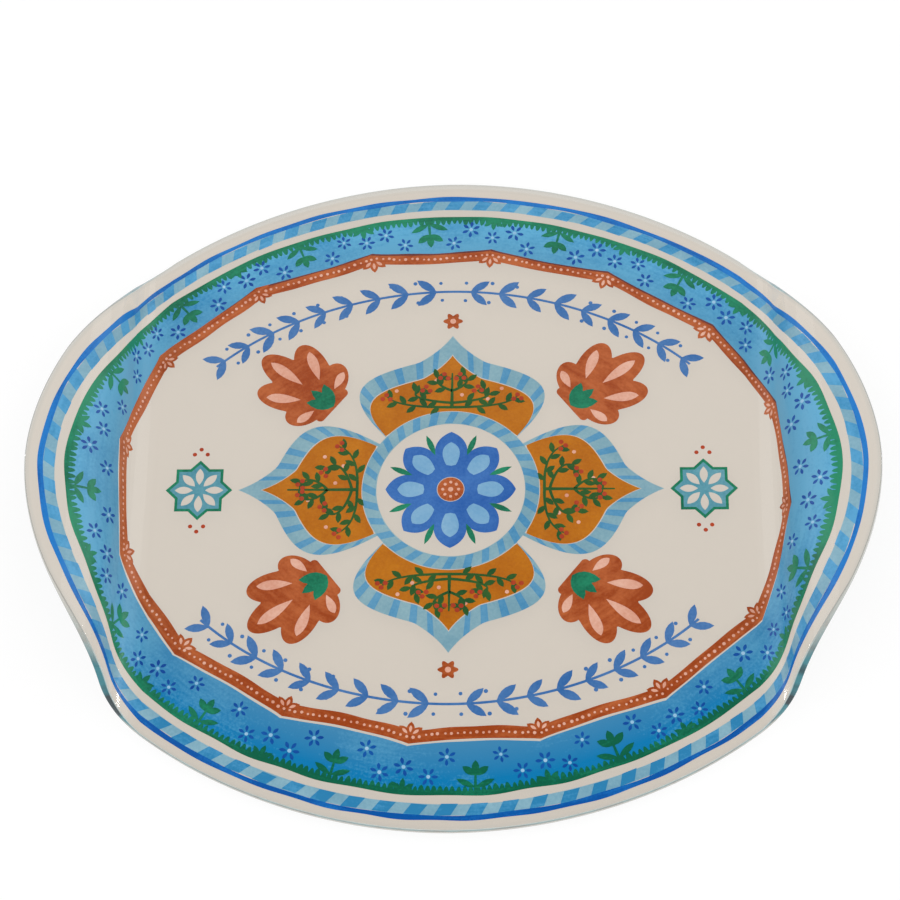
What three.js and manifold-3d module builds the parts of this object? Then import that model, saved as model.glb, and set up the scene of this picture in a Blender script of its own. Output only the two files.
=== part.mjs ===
// Printed serving tray: one clear acrylic sheet, cut to an oval, with both ends bent up into handles,
// and the coats of ink that were printed on its serving face before the bending. Millimetres, +Z up.
// A point of the flat blank is (u, v, h): u along the length, v across it, h above the underside.
// The function bent() carries it to its place on the finished tray.
import * as THREE from 'three';
import { mergeVertices } from 'three/addons/utils/BufferGeometryUtils.js';
import Module from 'manifold-3d';

const wasm = await Module();
wasm.setup();

const { degToRad, radToDeg } = THREE.MathUtils;

// The blank before it is bent. A power of 2 in both directions would make a true ellipse.
const sheetThickness = 4;
const blankHalfLength = 220;
const blankHalfWidth = 178;
const lengthPower = 1.952;
const widthPower = 1.866;
const edgeEase = 0.5;

// The raised ends. From the bend line outwards: wide heel, short straight riser, shoulder, lip.
// The two ends were bent by hand, so they are not quite alike. Radii are those of the underside, and
// an end's length is that of the flat blank beyond its bend line.
const heelRadius = 20.7;
const riserLength = 3;
const shoulderRadius = 32;
const lipAngle = degToRad(10.8);
const leftEndLength = 75.4;
const leftRiseAngle = degToRad(68);
const rightEndLength = 73.5;
const rightRiseAngle = degToRad(62.7);
const ends = [
  { side: -1, bendLine: blankHalfLength - leftEndLength, riseAngle: leftRiseAngle },
  { side: 1, bendLine: blankHalfLength - rightEndLength, riseAngle: rightRiseAngle },
];

// The print. It sits a little off the middle of the blank, across its length.
const inkThickness = 0.12;
const inkClearance = 0.05;
const inkGap = 0.3;
const printOffset = -1.25;

// Border bands, from the edge of the blank inwards
const rimLineInset = 6.4;
const rimLineWidth = 3.2;
const twistBandWidth = 4.8;
const clearBandWidth = 4;
const greenEdgingWidth = 2.7;
const blueFieldWidth = 23.2;
const innerBandWidth = 6.6;

// Centre medallion: a round middle with four pointed lobes, each a panel in a frame. It fills the
// space that the loose motifs leave, so its roundel and its lobes keep to shares of its reach.
const roundelShare = 0.57;
const crownSpreadShare = 0.65;
const sideSpreadShare = 0.84;
const roundelRingWidth = 7;
const frameWidth = 6.5;
const frameTipLength = 11;
const petalCount = 8;
const petalMargin = 4.5;
const petalFullness = 0.82;
const hubWidth = 3;
const eyeRadius = 6.5;

// The outline of a lobe from its foot to its tip, and of a petal, in shares of length and half width
const lobeCurve = { belly: [0.6, 1.15], flank: [0.7, 0.95], shoulder: [0.82, 0.3], neck: [0.9, 0.1] };
const petalCurve = { foot: 0.5, crown: 0.85 };
const leafBelly = 0.55;

// Loose motifs on the clear ground
const motifGap = 3;
const bendMargin = 4;
const starRadius = 16.5;
const starHub = 3;
const starOpenings = 8;
const starOpeningLength = 9;
const starOpeningWidth = 4;
const palmetteLength = 42;
const palmetteSqueeze = 0.775;
const palmetteTilt = degToRad(38);
const palmetteOffset = 6.5;
const fanHalfAngle = degToRad(115);
const fanNarrowing = 0.62;
const fingerPitch = degToRad(40);
const fingerDepth = 0.26;
const blossomRadius = 5;
const blossomPetals = 6;
const blossomDepth = 0.18;
const garlandStem = 1.3;
const garlandLeafLength = 12;
const garlandLeafWidth = 4.4;
const garlandLeafTilt = degToRad(38);
const garlandPairs = 9;
const garlandFirstPair = 0.6;
const garlandEndAngle = degToRad(40);

// How finely curves are divided, and when two places count as the same
const roundSteps = 28;
const smallRoundSteps = 10;
const lobeSteps = 7;
const petalSteps = 6;
const leafSteps = 3;
const palmetteSteps = 46;
const blossomSteps = 24;
const garlandSteps = 24;
const samePlace = 1e-6;

// The outline of the blank, a distance inset inside its edge: half its width at u
function halfWidthAt(u, inset) {
  const along = Math.min(Math.abs(u) / (blankHalfLength - inset), 1);
  return (blankHalfWidth - inset) * (1 - along ** lengthPower) ** (1 / widthPower);
}

// The fold lines of one end. Each has its distance s from the bend line, its place on the underside
// and the slope of the sheet there. Between two of them the sheet is flat.
const heelSteps = 6;
const shoulderSteps = 6;

function foldsOf({ bendLine, riseAngle }) {
  const folds = [];
  for (let i = 0; i <= heelSteps; i += 1) {
    const angle = (riseAngle * i) / heelSteps;
    folds.push({
      s: heelRadius * angle,
      x: bendLine + heelRadius * Math.sin(angle),
      z: heelRadius * (1 - Math.cos(angle)),
      angle,
    });
  }
  const heel = folds.at(-1);
  const riserTop = {
    s: heel.s + riserLength,
    x: heel.x + riserLength * Math.cos(riseAngle),
    z: heel.z + riserLength * Math.sin(riseAngle),
  };
  for (let i = 0; i <= shoulderSteps; i += 1) {
    const angle = riseAngle + ((lipAngle - riseAngle) * i) / shoulderSteps;
    folds.push({
      s: riserTop.s + shoulderRadius * (riseAngle - angle),
      x: riserTop.x + shoulderRadius * (Math.sin(riseAngle) - Math.sin(angle)),
      z: riserTop.z + shoulderRadius * (Math.cos(angle) - Math.cos(riseAngle)),
      angle,
    });
  }
  const shoulder = folds.at(-1);
  const lipLength = blankHalfLength - bendLine - shoulder.s;
  folds.push({
    s: shoulder.s + lipLength,
    x: shoulder.x + lipLength * Math.cos(lipAngle),
    z: shoulder.z + lipLength * Math.sin(lipAngle),
    angle: lipAngle,
  });
  return folds;
}

for (const end of ends) end.folds = foldsOf(end);

// The place on the finished tray of the blank's point (u, v) at height h above the underside
function bent(u, v, h) {
  const end = u < 0 ? ends[0] : ends[1];
  const s = Math.abs(u) - end.bendLine;
  if (s <= 0) return [u, v, h];
  const next = Math.max(1, end.folds.findIndex((fold) => fold.s >= s - samePlace));
  const [a, b] = [end.folds[next - 1], end.folds[next]];
  const share = (s - a.s) / (b.s - a.s);
  const [xa, xb] = [a, b].map((fold) => fold.x - h * Math.sin(fold.angle));
  const [za, zb] = [a, b].map((fold) => fold.z + h * Math.cos(fold.angle));
  return [end.side * (xa + (xb - xa) * share), v, za + (zb - za) * share];
}

// The cross lines of a plate that follows the bends: one at every fold, at the tips of the given
// outlines and close inside them, where an oval turns fastest, and others evenly over its length.
const tipSteps = [0.6, 2.6];
const evenSteps = 28;
const leastStep = 0.4;

function crossLines(insets) {
  const longest = blankHalfLength - Math.min(...insets);
  const bothWays = (distances) => distances.flatMap((u) => [-u, u]);
  const folds = ends.flatMap((end) => end.folds.map((fold) => end.side * (end.bendLine + fold.s)));
  const tips = bothWays(insets.map((inset) => blankHalfLength - inset));
  const besideTips = insets.flatMap((inset) => tipSteps.map((step) => blankHalfLength - inset - step));
  const nearTips = bothWays(besideTips);
  const even = Array.from({ length: evenSteps + 1 }, (_, i) => {
    return longest * Math.sin(Math.PI * (i / evenSteps - 0.5));
  });
  const lines = [];
  for (const u of [...tips, ...folds]) {
    if (lines.every((other) => Math.abs(other - u) > samePlace)) lines.push(u);
  }
  for (const u of [...nearTips, ...even]) {
    if (lines.every((other) => Math.abs(other - u) > leastStep)) lines.push(u);
  }
  return lines.filter((u) => Math.abs(u) <= longest + samePlace).sort((a, b) => a - b);
}

// A closed plate that follows the bends. Its outer edge runs through the points of outerRim, each an
// inset and a height, from below upwards. innerRim does the same for the edge of its opening, and a
// plate with no opening has its inset at the middle of the blank.
function bentPlate(outerRim, innerRim, lines, offset) {
  const solidMiddle = innerRim[0].inset >= blankHalfWidth;
  const corners = [];
  const addTriangle = (side, a, b, c) => {
    const [ab, ac] = [b, c].map((p) => new THREE.Vector3(...p).sub(new THREE.Vector3(...a)));
    if (ab.cross(ac).length() > samePlace) corners.push(...a, ...(side > 0 ? [...c, ...b] : [...b, ...c]));
  };
  const innerWidth = (u) => (solidMiddle ? 0 : halfWidthAt(u, innerRim[0].inset));
  const section = [
    ...outerRim.map(({ inset, h }) => (side, u) => {
      const reach = Math.min(Math.abs(u), blankHalfLength - inset) * Math.sign(u);
      return bent(reach, side * halfWidthAt(reach, inset) + offset, h);
    }),
    ...innerRim.toReversed().map(({ h }) => (side, u) => bent(u, side * innerWidth(u) + offset, h)),
  ];
  for (const side of [-1, 1]) {
    for (let i = 1; i < lines.length; i += 1) {
      const [u0, u1] = [lines[i - 1], lines[i]];
      section.forEach((lower, k) => {
        const upper = section[(k + 1) % section.length];
        const isInnerWall = k >= outerRim.length && k < section.length - 1;
        if (isInnerWall && innerWidth(u0) === 0 && innerWidth(u1) === 0) return;
        addTriangle(side, lower(side, u0), lower(side, u1), upper(side, u1));
        addTriangle(side, lower(side, u0), upper(side, u1), upper(side, u0));
      });
    }
  }
  const geometry = new THREE.BufferGeometry();
  geometry.setAttribute('position', new THREE.Float32BufferAttribute(corners, 3));
  geometry.computeVertexNormals();
  return geometry;
}

// The clear sheet
const middle = blankHalfWidth;
const sheetRim = [
  { inset: edgeEase, h: 0 },
  { inset: 0, h: edgeEase },
  { inset: 0, h: sheetThickness - edgeEase },
  { inset: edgeEase, h: sheetThickness },
];
const sheetMiddle = [
  { inset: middle, h: 0 },
  { inset: middle, h: sheetThickness },
];
const sheetGeometry = bentPlate(sheetRim, sheetMiddle, crossLines([0, edgeEase]), 0);

// The border bands. All of them share their cross lines, so that neighbours never cross.
const inkFloor = sheetThickness + inkClearance;
const bands = {};
let inset = rimLineInset;
for (const [name, width, gapAfter] of [
  ['rimLine', rimLineWidth, inkGap],
  ['twistBand', twistBandWidth, clearBandWidth],
  ['greenEdging', greenEdgingWidth, inkGap],
  ['blueField', blueFieldWidth, inkGap],
  ['innerBand', innerBandWidth, 0],
]) {
  bands[name] = { from: inset, to: inset + width };
  inset += width + gapAfter;
}
const borderInset = inset;
const bandLines = crossLines(Object.values(bands).flatMap(({ from, to }) => [from, to]));

function bandGeometry({ from, to }) {
  const rim = (edge) => [inkFloor, inkFloor + inkThickness].map((h) => ({ inset: edge, h }));
  const lines = bandLines.filter((u) => Math.abs(u) <= blankHalfLength - from + samePlace);
  return bentPlate(rim(from), rim(to), lines, printOffset);
}

// Flat films of ink on the floor of the tray, joined and cut as solids
function film(shape, curveSegments = smallRoundSteps) {
  const flat = new THREE.ExtrudeGeometry(shape, { depth: inkThickness, bevelEnabled: false, curveSegments });
  flat.deleteAttribute('normal');
  flat.deleteAttribute('uv');
  const merged = mergeVertices(flat);
  const vertProperties = merged.attributes.position.array;
  return new wasm.Manifold(new wasm.Mesh({ numProp: 3, vertProperties, triVerts: merged.index.array }));
}

function filmGeometry(solid) {
  const { vertProperties, triVerts } = solid.getMesh();
  const geometry = new THREE.BufferGeometry();
  geometry.setAttribute('position', new THREE.BufferAttribute(vertProperties, 3));
  geometry.setIndex(new THREE.BufferAttribute(triVerts, 1));
  geometry.translate(0, printOffset, inkFloor);
  const faceted = geometry.toNonIndexed();
  faceted.computeVertexNormals();
  return faceted;
}

const joined = (solids) => solids.reduce((whole, solid) => whole.add(solid));

function disc(radius, curveSegments = roundSteps) {
  const shape = new THREE.Shape().absarc(0, 0, radius, 0, 2 * Math.PI);
  return film(shape, curveSegments);
}

// A closed outline from a radius that depends on the angle
function roundShape(radiusAt, from, to, steps, squeeze = 1) {
  const shape = new THREE.Shape();
  for (let i = 0; i <= steps; i += 1) {
    const angle = from + ((to - from) * i) / steps;
    const radius = radiusAt(angle);
    shape[i ? 'lineTo' : 'moveTo'](radius * Math.cos(angle), radius * Math.sin(angle) * squeeze);
  }
  return shape;
}

// A lobe of the medallion: a leaf from the middle of the roundel to a drawn-out tip
function lobe(reach, spread, turn) {
  const place = ([along, across], side) => [along * reach, side * across * spread];
  const { belly, flank, shoulder, neck } = lobeCurve;
  const shape = new THREE.Shape();
  shape.moveTo(0, 0);
  shape.bezierCurveTo(...place(belly, -1), ...place(flank, -1), ...place(shoulder, -1));
  shape.quadraticCurveTo(...place(neck, -1), reach, 0);
  shape.quadraticCurveTo(...place(neck, 1), ...place(shoulder, 1));
  shape.bezierCurveTo(...place(flank, 1), ...place(belly, 1), 0, 0);
  return film(shape, lobeSteps).rotate([0, 0, turn]);
}

// Places on the clear ground, from the border and the bend lines inwards
const floorHalfLength = Math.min(...ends.map((end) => end.bendLine));
const starPlace = floorHalfLength - bendMargin - starRadius;
const sideReach = starPlace - starRadius - motifGap - frameTipLength;
const leafSpan = garlandLeafLength * Math.sin(garlandLeafTilt) + garlandLeafWidth / 2;
const garlandInset = borderInset + motifGap + leafSpan;
const blossomPlace = blankHalfWidth - garlandInset - leafSpan - motifGap - blossomRadius;
const crownReach = blossomPlace - blossomRadius - motifGap - frameTipLength;
const crownSpread = crownReach * crownSpreadShare;
const roundelRadius = crownReach * roundelShare;
const sideSpread = roundelRadius * sideSpreadShare;

const lobes = {
  right: { reach: sideReach, spread: sideSpread, turn: 0 },
  upper: { reach: crownReach, spread: crownSpread, turn: 90 },
  left: { reach: sideReach, spread: sideSpread, turn: 180 },
  lower: { reach: crownReach, spread: crownSpread, turn: 270 },
};

function medallionFrame() {
  const framed = Object.values(lobes).map(({ reach, spread, turn }) => {
    return lobe(reach + frameTipLength, spread + frameWidth, turn);
  });
  const whole = joined([disc(roundelRadius), ...framed]);
  const panels = joined(Object.values(lobes).map(({ reach, spread, turn }) => lobe(reach, spread, turn)));
  const openings = panels.subtract(disc(roundelRadius)).add(disc(roundelRadius - roundelRingWidth));
  return whole.subtract(openings);
}

// A panel lies inside its frame, with the print's gap all round
function lobePanel({ reach, spread, turn }) {
  return lobe(reach - 2 * inkGap, spread - inkGap, turn).subtract(disc(roundelRadius + inkGap));
}

// The same solid, count times round the middle
function ringOf(solid, count) {
  return Array.from({ length: count }, (_, i) => solid.rotate([0, 0, (360 * i) / count]));
}

function rosette() {
  const hub = disc(eyeRadius + inkGap + hubWidth, smallRoundSteps);
  const length = roundelRadius - roundelRingWidth - petalMargin;
  const breadth = length * Math.tan(Math.PI / petalCount) * petalFullness;
  const [foot, crown] = [petalCurve.foot * length, petalCurve.crown * length];
  const petal = new THREE.Shape();
  petal.moveTo(0, 0);
  petal.bezierCurveTo(foot, -breadth, crown, -breadth, length, 0);
  petal.bezierCurveTo(crown, breadth, foot, breadth, 0, 0);
  const petals = ringOf(film(petal, petalSteps), petalCount);
  return joined([hub, ...petals]).subtract(disc(eyeRadius + inkGap, smallRoundSteps));
}

// A star of two squares, one turned by half a right angle, with a ring of leaf-shaped openings
function star(side) {
  const corners = [[starRadius, 0], [0, starRadius], [-starRadius, 0], [0, -starRadius]];
  const square = film(new THREE.Shape(corners.map((corner) => new THREE.Vector2(...corner))));
  const opening = pointedLeaf(starOpeningLength, starOpeningWidth).translate([starHub, 0, 0]);
  const whole = square.add(square.rotate([0, 0, 45]));
  return whole.subtract(joined(ringOf(opening, starOpenings))).translate([side * starPlace, 0, 0]);
}

// A fan of fingers that grows outwards from the notch between two lobes
function palmette(sideU, sideV) {
  const radiusAt = (angle) => {
    const finger = 1 - fingerDepth + fingerDepth * Math.abs(Math.cos((Math.PI / fingerPitch) * angle));
    return palmetteLength * Math.cos(angle * fanNarrowing) * finger;
  };
  const shape = roundShape(radiusAt, -fanHalfAngle, fanHalfAngle, palmetteSteps, palmetteSqueeze);
  const placed = film(shape).rotate([0, 0, radToDeg(palmetteTilt)]).translate([
    crownSpread + frameWidth + palmetteOffset,
    sideSpread + frameWidth + palmetteOffset,
    0,
  ]);
  const acrossLength = sideU > 0 ? placed : placed.mirror([1, 0, 0]);
  return sideV > 0 ? acrossLength : acrossLength.mirror([0, 1, 0]);
}

function blossomAt(v) {
  const radiusAt = (angle) => {
    return blossomRadius * (1 - blossomDepth + blossomDepth * Math.cos(blossomPetals * angle));
  };
  return film(roundShape(radiusAt, 0, 2 * Math.PI, blossomSteps)).translate([0, v, 0]);
}

// A leaf from its foot to its tip, both pointed
function pointedLeaf(length, width) {
  const leaf = new THREE.Shape();
  leaf.moveTo(0, 0);
  leaf.quadraticCurveTo(length * leafBelly, -width, length, 0);
  leaf.quadraticCurveTo(length * leafBelly, width, 0, 0);
  return film(leaf, leafSteps);
}

// A stem that runs parallel to the border, with a pair of leaves at every step
function garland(side) {
  const arcPoint = (angle, depth) => {
    const u = (blankHalfLength - depth) * Math.cos(angle);
    return new THREE.Vector2(u, side * halfWidthAt(u, depth));
  };
  const arc = (depth) => Array.from({ length: garlandSteps + 1 }, (_, i) => {
    const angle = garlandEndAngle + ((Math.PI - 2 * garlandEndAngle) * i) / garlandSteps;
    return arcPoint(angle, depth);
  });
  const outside = arc(garlandInset - garlandStem / 2);
  const inside = arc(garlandInset + garlandStem / 2).reverse();
  const stem = film(new THREE.Shape([...outside, ...inside]));
  const leaf = pointedLeaf(garlandLeafLength, garlandLeafWidth);
  const path = new THREE.SplineCurve(arc(garlandInset));
  const leaves = [];
  for (const way of [-1, 1]) {
    for (let i = 0; i < garlandPairs; i += 1) {
      const share = (1 + (way * (i + garlandFirstPair)) / garlandPairs) / 2;
      const at = path.getPointAt(share);
      const heading = path.getTangentAt(share).multiplyScalar(way).angle();
      for (const tilt of [-garlandLeafTilt, garlandLeafTilt]) {
        leaves.push(leaf.rotate([0, 0, radToDeg(heading + tilt)]).translate([at.x, at.y, 0]));
      }
    }
  }
  return joined([stem, ...leaves]);
}

// Finishes
const finish = (color, roughness) => new THREE.MeshStandardMaterial({ color, roughness, metalness: 0 });
const clearAcrylic = finish(0xd3cbc1, 0.08);
clearAcrylic.transparent = true;
clearAcrylic.opacity = 0.45;
const cobaltInk = finish(0x1760b4, 0.4);
const skyInk = finish(0x86b4c6, 0.4);
const blueInk = finish(0x4f98c6, 0.4);
const greenInk = finish(0x14774f, 0.4);
const terracottaInk = finish(0xb2633a, 0.4);
const ochreInk = finish(0xb9700d, 0.4);
const tealInk = finish(0x5698a8, 0.4);
const greyBlueInk = finish(0x5577a8, 0.4);

// The finished tray
const tray = new THREE.Group();

function addPiece(name, geometry, material) {
  const piece = new THREE.Mesh(geometry, material);
  piece.name = name;
  tray.add(piece);
}

const addFilm = (name, solid, material) => addPiece(name, filmGeometry(solid), material);

addPiece('acrylic_sheet', sheetGeometry, clearAcrylic);
addPiece('cobalt_rim_line', bandGeometry(bands.rimLine), cobaltInk);
addPiece('twist_band', bandGeometry(bands.twistBand), skyInk);
addPiece('green_edging', bandGeometry(bands.greenEdging), greenInk);
addPiece('blue_field', bandGeometry(bands.blueField), blueInk);
addPiece('terracotta_band', bandGeometry(bands.innerBand), terracottaInk);
addFilm('medallion_frame', medallionFrame(), skyInk);
for (const [name, panel] of Object.entries(lobes)) addFilm(`ochre_panel_${name}`, lobePanel(panel), ochreInk);
addFilm('cobalt_rosette', rosette(), cobaltInk);
addFilm('rosette_eye', disc(eyeRadius, 10), terracottaInk);
addFilm('star_left', star(-1), tealInk);
addFilm('star_right', star(1), tealInk);
for (const [name, sideU, sideV] of [
  ['upper_left', -1, 1],
  ['upper_right', 1, 1],
  ['lower_left', -1, -1],
  ['lower_right', 1, -1],
]) {
  addFilm(`palmette_${name}`, palmette(sideU, sideV), terracottaInk);
}
addFilm('blossom_upper', blossomAt(blossomPlace), terracottaInk);
addFilm('blossom_lower', blossomAt(-blossomPlace), terracottaInk);
addFilm('garland_upper', garland(1), greyBlueInk);
addFilm('garland_lower', garland(-1), greyBlueInk);

// The origin is under the middle of the finished tray, where the two lips end
const lipEnds = ends.map((end) => bent(end.side * blankHalfLength, 0, edgeEase)[0]);
tray.position.x = -(lipEnds[0] + lipEnds[1]) / 2;

export default tray;
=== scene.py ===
# %% [markdown]
# # A printed serving tray of bent acrylic
# The real tray starts as a flat oval of clear sheet. Its colours are printed on it while it is flat,
# and then both ends are warmed and bent up. This lesson works in the same order: everything is drawn
# on the flat blank, in millimetres, and one bending step at the end carries sheet and ink to their
# places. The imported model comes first, because every piece here stands for one of its nodes.

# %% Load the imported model
import math

import bmesh
import bpy
import numpy as np
from mathutils import Matrix, Vector


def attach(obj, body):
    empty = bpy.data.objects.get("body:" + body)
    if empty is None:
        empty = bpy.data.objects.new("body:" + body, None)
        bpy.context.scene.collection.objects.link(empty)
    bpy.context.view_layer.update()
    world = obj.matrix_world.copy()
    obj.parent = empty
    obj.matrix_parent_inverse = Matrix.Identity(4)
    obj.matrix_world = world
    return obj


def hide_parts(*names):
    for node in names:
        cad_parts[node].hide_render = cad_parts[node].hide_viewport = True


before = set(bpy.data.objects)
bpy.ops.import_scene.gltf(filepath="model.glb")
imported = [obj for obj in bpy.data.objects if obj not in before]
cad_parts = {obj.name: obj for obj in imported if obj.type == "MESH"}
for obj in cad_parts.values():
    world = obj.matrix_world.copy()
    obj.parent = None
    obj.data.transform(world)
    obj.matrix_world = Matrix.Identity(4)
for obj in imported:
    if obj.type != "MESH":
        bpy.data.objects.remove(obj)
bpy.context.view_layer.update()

# %% [markdown]
# ## Where the picture is taken from
# The photograph looks down at the tray from its near side with a long lens. A camera like that is set
# by its distance, its height above the table and its lens. A small turn and roll bring the tray's
# outline and its printed bands onto those of the photograph.

# %% Camera
METRES = 0.001
blank_middle = Vector((-1.5209 * METRES, 0, 0))
camera_distance = 1.2349
camera_elevation = math.radians(62.69)
camera_turn = 0.0811
camera_roll = -0.0763

camera = bpy.data.objects.new("photo_camera", bpy.data.cameras.new("photo_camera"))
bpy.context.scene.collection.objects.link(camera)
bpy.context.scene.camera = camera
camera.data.sensor_width = 36
camera.data.lens = 100.27
camera.data.shift_x = -0.0011
camera.data.shift_y = 0.0443

turned = Matrix.Rotation(camera_turn, 3, "Z")
back = turned @ Vector((0, -math.cos(camera_elevation), math.sin(camera_elevation)))
level_up = turned @ Vector((0, math.sin(camera_elevation), math.cos(camera_elevation)))
level_right = turned @ Vector((1, 0, 0))
right = math.cos(camera_roll) * level_right + math.sin(camera_roll) * level_up
up = math.cos(camera_roll) * level_up - math.sin(camera_roll) * level_right
facing = Matrix((right, up, back)).transposed().to_4x4()
camera.matrix_world = Matrix.Translation(blank_middle + camera_distance * back) @ facing
print("the camera stands", round(camera.matrix_world.translation.z, 3), "m above the table")

# %% [markdown]
# ## Sums with sockets
# Node trees hold a lot of arithmetic. Wiring Math nodes by hand hides the formula, so a small class
# wraps a socket and takes the ordinary signs: an expression in Python adds the nodes that it needs.
# Every other node comes from its method node(), for materials and for geometry alike.

# %% A socket that can be used in sums
class Wire:
    """An output socket of a node tree, or the tree alone, to which nodes can be added."""

    def __init__(self, tree, socket=None):
        self.tree = tree
        self.socket = socket

    def node(self, kind, settings=None, values=None, out=0):
        """Adds a node. Its settings are set first, then the values or wires of its inputs."""
        made = self.tree.nodes.new(kind)
        for name, value in (settings or {}).items():
            setattr(made, name, value)
        for name, value in (values or {}).items():
            if isinstance(value, Wire):
                self.tree.links.new(value.socket, made.inputs[name])
            else:
                made.inputs[name].default_value = value
        return Wire(self.tree, made.outputs[out] if len(made.outputs) else None)

    def other(self, name):
        """Another output of the node that this wire comes from."""
        return Wire(self.tree, self.socket.node.outputs[name])

    def math(self, operation, *terms):
        return self.node("ShaderNodeMath", {"operation": operation}, dict(enumerate(terms)))

    def __add__(self, other):
        return self.math("ADD", self, other)

    def __sub__(self, other):
        return self.math("SUBTRACT", self, other)

    def __rsub__(self, other):
        return self.math("SUBTRACT", other, self)

    def __mul__(self, other):
        return self.math("MULTIPLY", self, other)

    def __truediv__(self, other):
        return self.math("DIVIDE", self, other)

    def __pow__(self, other):
        return self.math("POWER", self, other)

    def __abs__(self):
        return self.math("ABSOLUTE", self)

    __radd__ = __add__
    __rmul__ = __mul__

    def between(self, low, high):
        return self.math("MINIMUM", self.math("MAXIMUM", self, low), high)

    def blend(self, first, second):
        """The colour first where this wire is 0, and second where it is 1."""
        settings = {"data_type": "RGBA", "clamp_factor": True}
        return self.node("ShaderNodeMix", settings, {0: self, 6: first, 7: second}, out=2)

    def noise(self, scale, detail=3.0, roughness=0.5):
        """Noise from 0 to 1 at this place, with 0.5 in the middle."""
        return self.node("ShaderNodeTexNoise", None, {
            "Vector": self, "Scale": scale, "Detail": detail, "Roughness": roughness})


# %% [markdown]
# ## The blank
# The outline of the blank is an oval that is a little squarer than an ellipse. One function gives
# points at shares of the way round it and at any depth inside its edge, so every band of the border
# can use it. The bend lines cross the blank near its two ends. The sheet's flat parts stay flat and
# only the strips between the fold lines turn, so all meshes are cut there before the bending.

# %% Sizes of the blank and of its bends
sheet_thickness = 4
half_length, half_width = 220, 178
length_power, width_power = 1.952, 1.866
heel_radius = 20.7
riser_length = 3.0
shoulder_radius = 32.0
lip_angle = math.radians(10.8)
end_lengths = {-1: 75.4, 1: 73.5}
rises = {-1: math.radians(68), 1: math.radians(62.7)}
bend_lines = {side: half_length - length for side, length in end_lengths.items()}

fine_angles = np.linspace(0, 2 * math.pi, 14401)


def oval_at(angle, depth):
    cos, sin = np.cos(angle), np.sin(angle)
    u = (half_length - depth) * np.sign(cos) * np.abs(cos) ** (2 / length_power)
    v = (half_width - depth) * np.sign(sin) * np.abs(sin) ** (2 / width_power)
    return np.stack([u, v], axis=1)


def walked(line):
    return np.concatenate([[0], np.cumsum(np.hypot(*np.diff(line, axis=0).T))])


border_middle = 40
border_walk = walked(oval_at(fine_angles, border_middle))


def ring(share, depth):
    """Points at shares of the way round the border, at depths inside the blank's edge."""
    return oval_at(np.interp(np.asarray(share) % 1 * border_walk[-1], border_walk, fine_angles), depth)


def oval(depth, count=900, start=0.0):
    return ring(np.arange(count) / count + start, depth)


print("the border is", round(border_walk[-1]), "mm long in its middle")

# %% [markdown]
# On the real sheet both bends of an end are smooth arcs. A mesh is flat between its edges, so each
# arc gets a row of fold lines that lie close together. The floor, the riser and the lip stay flat
# and need none.

# %% Fold lines
heel_folds, shoulder_folds = 16, 18


def fold_lines():
    folds = []
    for side, rise in rises.items():
        heel = heel_radius * rise
        turn = shoulder_radius * (rise - lip_angle)
        stops = [heel * i / heel_folds for i in range(heel_folds + 1)]
        stops += [heel + riser_length + turn * i / shoulder_folds for i in range(shoulder_folds + 1)]
        folds += [side * (bend_lines[side] + stop) for stop in stops]
    return folds


print("the sheet is cut at", len(fold_lines()), "fold lines")

# %% [markdown]
# ## The oven
# A bent strip is a rule, not a shape to be pushed by hand: along the sheet there is a bend up, a
# short straight riser, a wider bend back and a flat lip. A node tree with these sizes as its inputs
# moves every point of a flat mesh to its place. Its height above the underside becomes its distance
# from the bent underside, which is why a coat of ink stays on its sheet.

# %% The bending tree
def new_tree(name, inputs):
    """The start of a tree that takes and gives a mesh, and the wires of its named inputs."""
    tree = bpy.data.node_groups.new(name, "GeometryNodeTree")
    tree.interface.new_socket("Mesh", in_out="INPUT", socket_type="NodeSocketGeometry")
    for label, kind in inputs.items():
        tree.interface.new_socket(label, in_out="INPUT", socket_type="NodeSocket" + kind)
    tree.interface.new_socket("Mesh", in_out="OUTPUT", socket_type="NodeSocketGeometry")
    given = Wire(tree).node("NodeGroupInput")
    return given, [given.other(label) for label in inputs]


def whole_in(given, mesh, ink_wire):
    """The last nodes of a tree: real geometry with its ink."""
    whole = given.node("GeometryNodeRealizeInstances", None, {0: mesh})
    inked = given.node("GeometryNodeSetMaterial", None, {"Geometry": whole, "Material": ink_wire})
    given.node("NodeGroupOutput", None, {0: inked})
    return given.tree


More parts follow.
